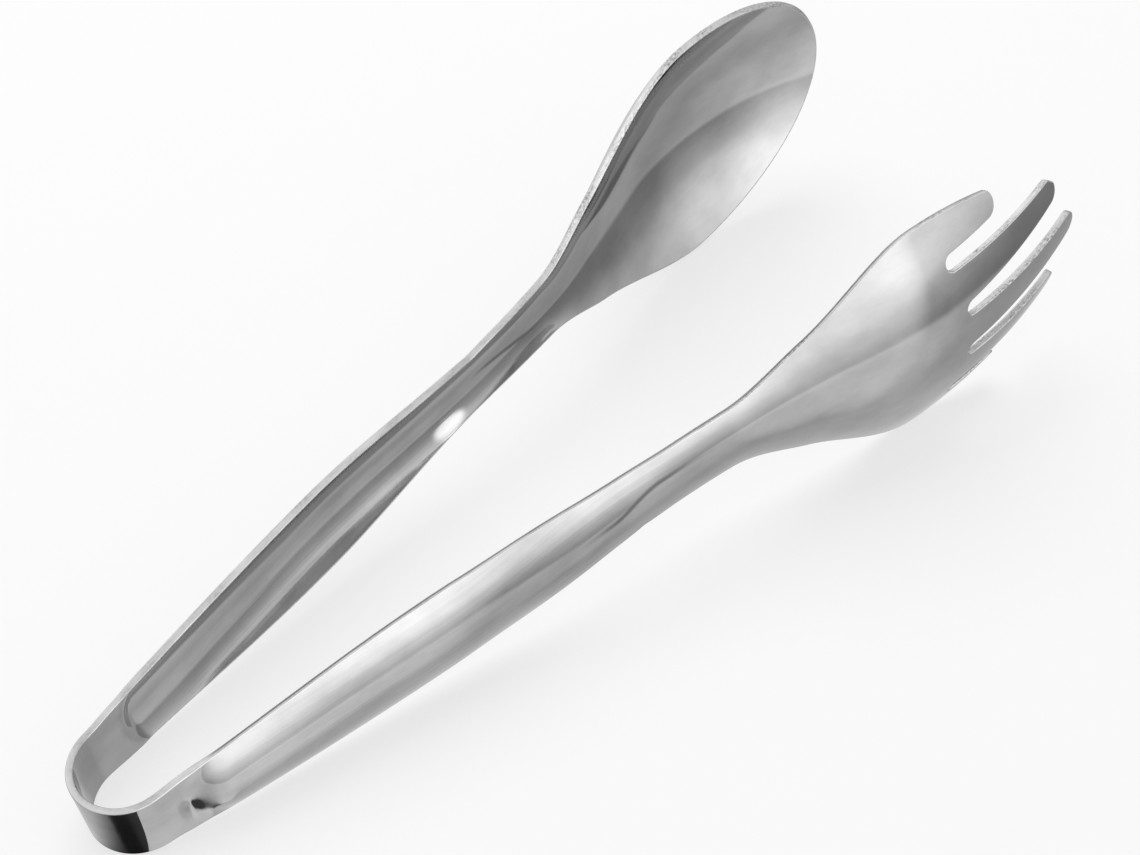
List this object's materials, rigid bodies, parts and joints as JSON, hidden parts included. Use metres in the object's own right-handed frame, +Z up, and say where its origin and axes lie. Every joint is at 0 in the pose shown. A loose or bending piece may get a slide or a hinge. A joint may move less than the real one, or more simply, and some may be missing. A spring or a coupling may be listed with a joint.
{
  "type": "steak tongs",
  "caption": "Sprung serving tongs pressed from one steel strip: flat U-shaped bow, fluted handles, a spoon bowl facing a pronged fork head.",
  "frame": {"origin": "on the table, under the centre of the bounding box of the tongs as they lie on their side", "axes": "+X from the bow to the tips, +Y towards the spoon arm, +Z up from the table"},
  "size_m": [0.2364, 0.0916, 0.0594],
  "materials": {
    "strip_steel": "polished, bright, with faint lengthwise polishing marks and a rougher cut edge"
  },
  "bodies": {
    "bow": {"spring_bow": "strip_steel"},
    "spoon_arm": {"spoon_handle": "strip_steel", "spoon_bowl": "strip_steel"},
    "fork_arm": {"fork_handle": "strip_steel", "fork_head": "strip_steel"}
  },
  "joints": [
    {"name": "spoon_arm_flex", "type": "hinge", "parent": "bow", "child": "spoon_arm", "pos_m": [-0.10778, 0.00941, 0.00826], "axis": [0.1155, 0, -0.9933], "range_deg": [0, 9.9], "stiffness_Nm_per_rad": 8},
    {"name": "fork_arm_flex", "type": "hinge", "parent": "bow", "child": "fork_arm", "pos_m": [-0.10778, -0.01081, 0.00826], "axis": [-0.1155, 0, 0.9933], "range_deg": [0, 9.9], "stiffness_Nm_per_rad": 8}
  ],
  "couplings": [
    {"joint": "fork_arm_flex", "follows": "spoon_arm_flex", "ratio": 1}
  ]
}
